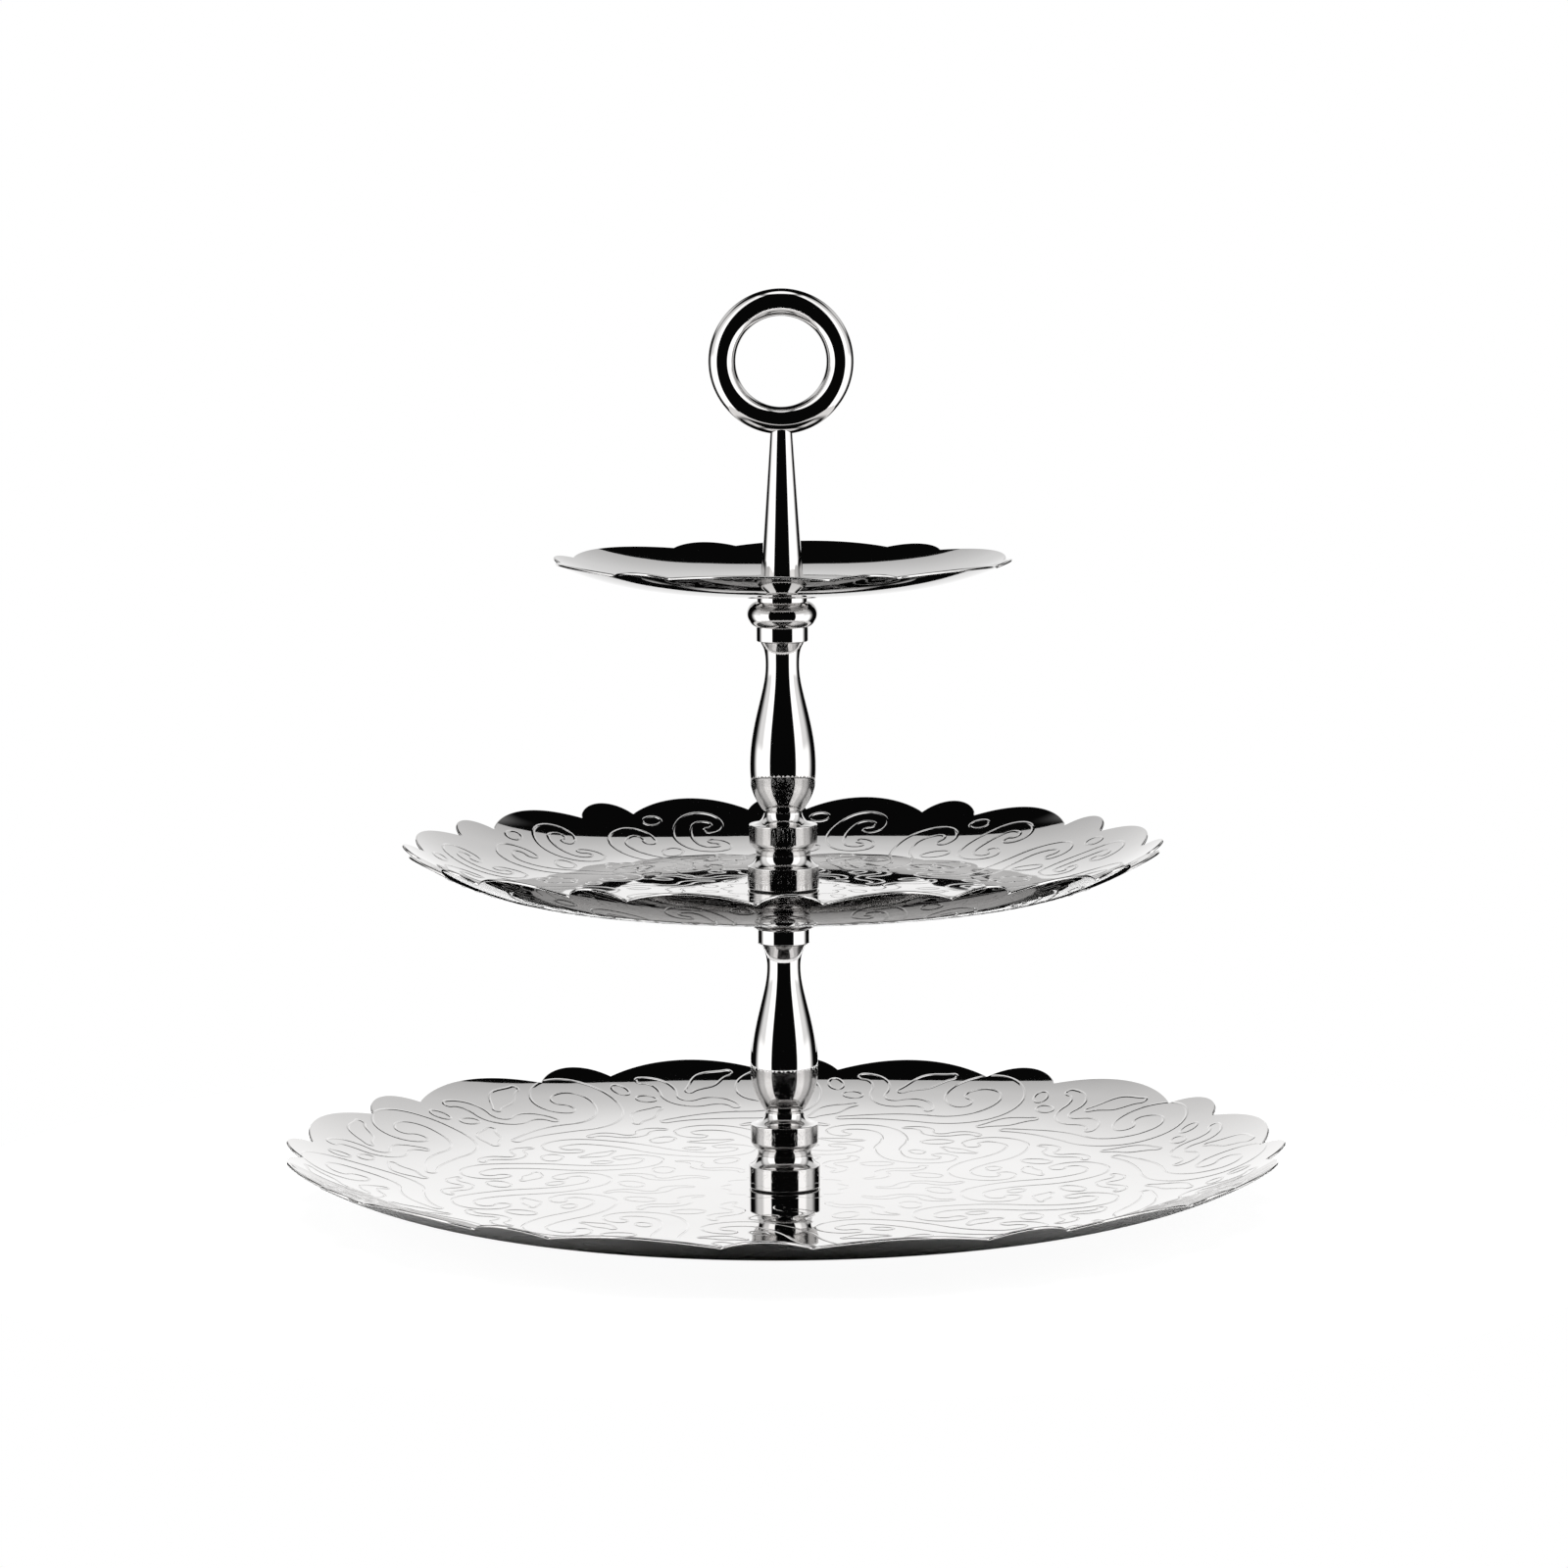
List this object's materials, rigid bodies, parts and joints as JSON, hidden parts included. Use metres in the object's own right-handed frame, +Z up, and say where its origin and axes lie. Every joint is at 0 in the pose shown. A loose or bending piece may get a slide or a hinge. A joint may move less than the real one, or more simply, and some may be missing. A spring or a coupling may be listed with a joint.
{
  "type": "tiered cake stand",
  "caption": "Tiered serving stand: scalloped polished steel dishes of falling size on a turned centre column that unscrews in sections, with a finger ring on top.",
  "frame": {"origin": "on the column's axis at the level of the surface the stand rests on", "axes": "+Z up along the column; the finger ring's circle faces -Y, +X is to its right"},
  "size_m": [0.3398, 0.3398, 0.309],
  "materials": {
    "polished_steel": "mirror-polished stainless steel",
    "fastener_steel": "machined stainless steel",
    "gasket_plastic": "thin black plastic washer",
    "pad_rubber": "matt black rubber"
  },
  "bodies": {
    "base": {"lower_dish": "polished_steel", "base_gasket": "gasket_plastic", "base_washer": "fastener_steel", "base_screw": "fastener_steel", "foot_pad_1": "pad_rubber", "foot_pad_2": "pad_rubber", "foot_pad_3": "pad_rubber", "foot_pad_4": "pad_rubber"},
    "lower_lift": {"lower_gasket": "gasket_plastic"},
    "lower_section": {"lower_column": "polished_steel", "lower_flange": "polished_steel", "middle_stud": "fastener_steel", "middle_under_gasket": "gasket_plastic"},
    "middle_tier": {"middle_dish": "polished_steel"},
    "upper_lift": {"middle_gasket": "gasket_plastic"},
    "upper_section": {"upper_column": "polished_steel", "upper_flange": "polished_steel", "upper_stud": "fastener_steel", "upper_under_gasket": "gasket_plastic"},
    "top_tier": {"upper_dish": "polished_steel"},
    "handle_lift": {"upper_gasket": "gasket_plastic"},
    "handle": {"handle_stem": "polished_steel", "handle_ring": "polished_steel"}
  },
  "joints": [
    {"name": "lower_column_rise", "type": "slide", "parent": "base", "child": "lower_lift", "axis": [0, 0, 1], "range_m": [0, 0.009]},
    {"name": "lower_column_turn", "type": "hinge", "parent": "lower_lift", "child": "lower_section", "pos_m": [0, 0, 0], "axis": [0, 0, 1], "range_deg": [0, 3240]},
    {"name": "middle_dish_swivel", "type": "hinge", "parent": "lower_section", "child": "middle_tier", "pos_m": [0, 0, 0], "axis": [0, 0, 1], "continuous": true},
    {"name": "upper_column_rise", "type": "slide", "parent": "lower_section", "child": "upper_lift", "axis": [0, 0, 1], "range_m": [0, 0.009]},
    {"name": "upper_column_turn", "type": "hinge", "parent": "upper_lift", "child": "upper_section", "pos_m": [0, 0, 0], "axis": [0, 0, 1], "range_deg": [0, 3240]},
    {"name": "upper_dish_swivel", "type": "hinge", "parent": "upper_section", "child": "top_tier", "pos_m": [0, 0, 0], "axis": [0, 0, 1], "continuous": true},
    {"name": "handle_rise", "type": "slide", "parent": "upper_section", "child": "handle_lift", "axis": [0, 0, 1], "range_m": [0, 0.009]},
    {"name": "handle_turn", "type": "hinge", "parent": "handle_lift", "child": "handle", "pos_m": [0, 0, 0], "axis": [0, 0, 1], "range_deg": [0, 3240]}
  ],
  "couplings": [
    {"joint": "lower_column_turn", "follows": "lower_column_rise", "rad_per_m": 6283.2},
    {"joint": "upper_column_turn", "follows": "upper_column_rise", "rad_per_m": 6283.2},
    {"joint": "handle_turn", "follows": "handle_rise", "rad_per_m": 6283.2}
  ]
}
